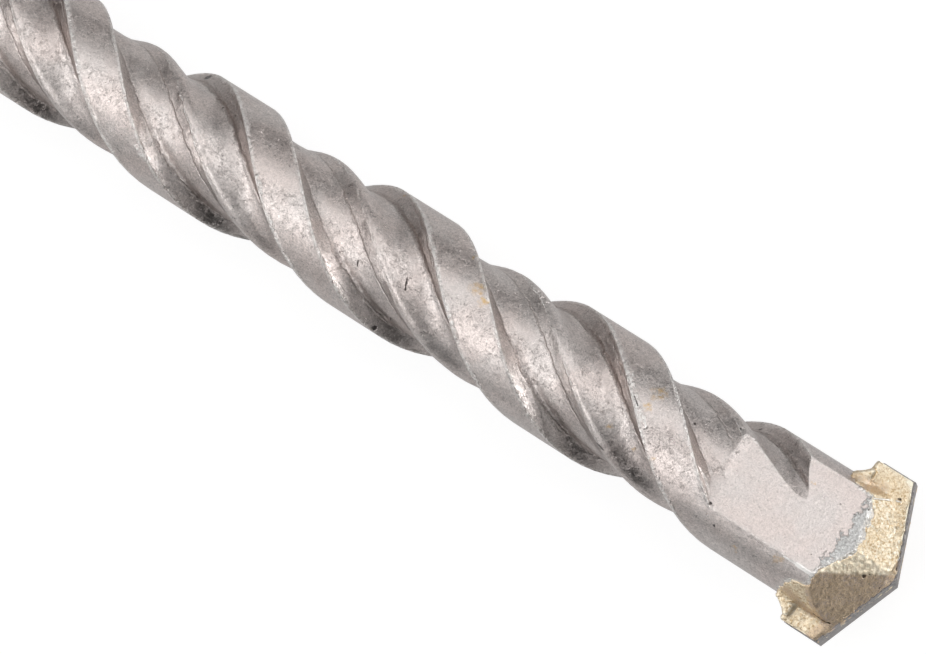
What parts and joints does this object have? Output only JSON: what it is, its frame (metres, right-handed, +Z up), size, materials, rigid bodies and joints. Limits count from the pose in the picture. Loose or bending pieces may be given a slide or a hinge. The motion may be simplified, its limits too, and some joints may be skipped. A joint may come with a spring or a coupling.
{
  "type": "masonry hammer drill bit",
  "caption": "Masonry drill bit for a rotary hammer: grooved shank, twisted body with raised lands and ribs, flat-sided head and a brazed roof-shaped cutting plate.",
  "frame": {"origin": "on the axis of the shank, where it enters its holder, 40 mm from the rear end", "axes": "+X along the axis from the shank to the tip, +Z up and square to the broad faces of the level cutting plate"},
  "size_m": [0.1998, 0.02, 0.015],
  "materials": {
    "blasted_steel": "fine blasted satin",
    "ground_carbide": "ground dark grey",
    "brazing_brass": "rough cast brazing metal"
  },
  "bodies": {
    "root": {"steel_body": "blasted_steel", "carbide_tip": "ground_carbide", "braze": "brazing_brass"}
  },
  "joints": []
}
